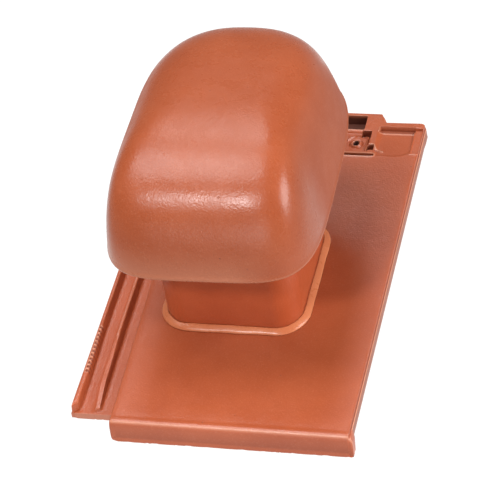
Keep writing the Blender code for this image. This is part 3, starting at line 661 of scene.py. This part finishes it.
for turn, half_bore in ((0, PIPE_W / 2), (90, PIPE_D / 2), (180, PIPE_W / 2), (270, PIPE_D / 2)):
    way = Vector((math.cos(TURN + math.radians(turn)), math.sin(TURN + math.radians(turn)), 0))
    side = Vector((-way.y, way.x, 0))
    outer = half_bore - PIPE_WALL - LUG_ROOM
    profile = [(outer - LUG_T, rib_foot - LUG_TALL), (outer, rib_foot - LUG_TALL), (outer, rib_foot)]
    for line in mid_wall:
        around = [p for p in (Vector(q) * 1000 - hub for q in line) if p.dot(way) > 0]
        spot = min(around, key=lambda p: abs(p.dot(side)), default=Vector())
        if spot.dot(way) > outer and spot.z > rib_foot:
            profile.append((spot.dot(way), spot.z))
    profile.append((outer - LUG_T, profile[-1][1]))
    first, n = len(hood_points), len(profile)
    for off in (-RIB_T / 2, RIB_T / 2):
        hood_points += [(hub + way * far + side * off + Vector((0, 0, high))) / 1000 for far, high in profile]
    hood_faces.append(tuple(first + k for k in range(n)))
    hood_faces.append(tuple(first + n + k for k in reversed(range(n))))
    hood_faces += [(first + k, first + n + k, first + n + (k + 1) % n, first + (k + 1) % n) for k in range(n)]
hood = solid("hood_dressed", hood_points, hood_faces, 50)


def ramp(value, start, run):
    """0 up to the start, then rising to 1 over a run."""
    return min(1, max(0, (value - start) / run))


edge, sides = [], []
for p in hood_points:
    off_x, off_y, rise = p[0] * 1000 - PIPE_X, p[1] * 1000 - PIPE_Y, p[2] * 1000 - hood_low.z
    # Painted light makes the foot of the front paler, and a painted highlight runs round the rim.
    painted_foot_light = 0.4 * max(0, 1 - rise / 38) * (off_y < -60) * (1 - ramp(off_x, 35, 40))
    edge.append(max(0.75 * max(0, 1 - rise / 4.5), painted_foot_light))
    sides.append(ramp(abs(off_x), 80, 14) * ramp(off_y, -70, 40))
for name, shares in (("painted_highlight", edge), ("matte", sides)):
    hood.data.attributes.new(name, "FLOAT", "POINT").data.foreach_set("value", shares)
hood.data.materials.append(slip("hood_slip", (0.345, 0.080, 0.031, 1), (0.30, 0.063, 0.022, 1),
                                (0.62, 0.28, 0.17, 1), 0.28, 0.9, 0.32))
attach(hood, "root")
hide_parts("hood")


# Plain studio: a pale surrounding light, soft boxes in front, overhead, at the right and behind, and a
# floor that glows white round the object and greyer further out, where the clay's sides mirror it.
FLOOR_HALF, FLOOR_DROP = 8.0, 0.0004
floor = solid("floor", [(-FLOOR_HALF, -FLOOR_HALF, 0), (FLOOR_HALF, -FLOOR_HALF, 0),
                        (FLOOR_HALF, FLOOR_HALF, 0), (-FLOOR_HALF, FLOOR_HALF, 0)], [(0, 1, 2, 3)], 30)
floor.location.z = -FLOOR_DROP
paper = bpy.data.materials.new("floor_paper")
paper.use_nodes = True
shader = paper.node_tree.nodes["Principled BSDF"]
spread = Sock(paper.node_tree).node("ShaderNodeTexCoord", out="Object")
across, along = (spread.node("ShaderNodeSeparateXYZ", {}, {0: spread}, out) for out in ("X", "Y"))
GREY_SIDES = (  # direction across and along, where that side starts to turn grey, where it is fully so
    (1.0, 0.144, 0.265, 0.50),
    (-1.0, -0.287, 0.30, 0.60),
    (0.0, 1.0, 0.49, 0.85),
    (0.095, -1.0, 0.33, 0.70))
beyond = sum((across * a + along * b).span(near, far) for a, b, near, far in GREY_SIDES)
glow = beyond.span(0.0, 1.0).blend((0.96, 0.96, 0.96, 1), (0.34, 0.34, 0.34, 1))
paper.node_tree.links.new(glow.socket, shader.inputs["Emission Color"])
shader.inputs["Base Color"].default_value = (0.10, 0.10, 0.10, 1)
shader.inputs["Roughness"].default_value = 0.9
shader.inputs["Specular IOR Level"].default_value = 0.0
shader.inputs["Emission Strength"].default_value = 1.0
floor.data.materials.append(paper)
world = bpy.data.worlds.new("studio")
world.use_nodes = True
world.node_tree.nodes["Background"].inputs["Color"].default_value = (1, 1, 1, 1)
world.node_tree.nodes["Background"].inputs["Strength"].default_value = 0.11
bpy.context.scene.world = world
LIGHTS = (  # name, azimuth, elevation, distance, size, watts
    ("front_box", -12, 47, 2.2, 0.23, 22),
    ("low_front_box", 2, 7, 2.4, 1.3, 13),
    ("top_box", -84, 74, 2.2, 1.4, 38),
    ("right_box", 87, 23, 2.2, 1.4, 50),
    ("rear_box", -165, 56, 2.3, 0.9, 12),
)
for name, azimuth, elevation, far, size, watts in LIGHTS:
    lamp = bpy.data.lights.new(name, "AREA")
    lamp.shape = "DISK"
    lamp.size = size
    lamp.energy = watts
    az, el = math.radians(azimuth), math.radians(elevation)
    aim = Vector((math.sin(az) * math.cos(el), -math.cos(az) * math.cos(el), math.sin(el)))
    light = bpy.data.objects.new(name, lamp)
    light.location = Vector((0, 0, 0.1)) + aim * far
    light.rotation_euler = aim.to_track_quat("Z", "Y").to_euler()
    bpy.context.scene.collection.objects.link(light)
bpy.context.scene.view_settings.view_transform = "Standard"
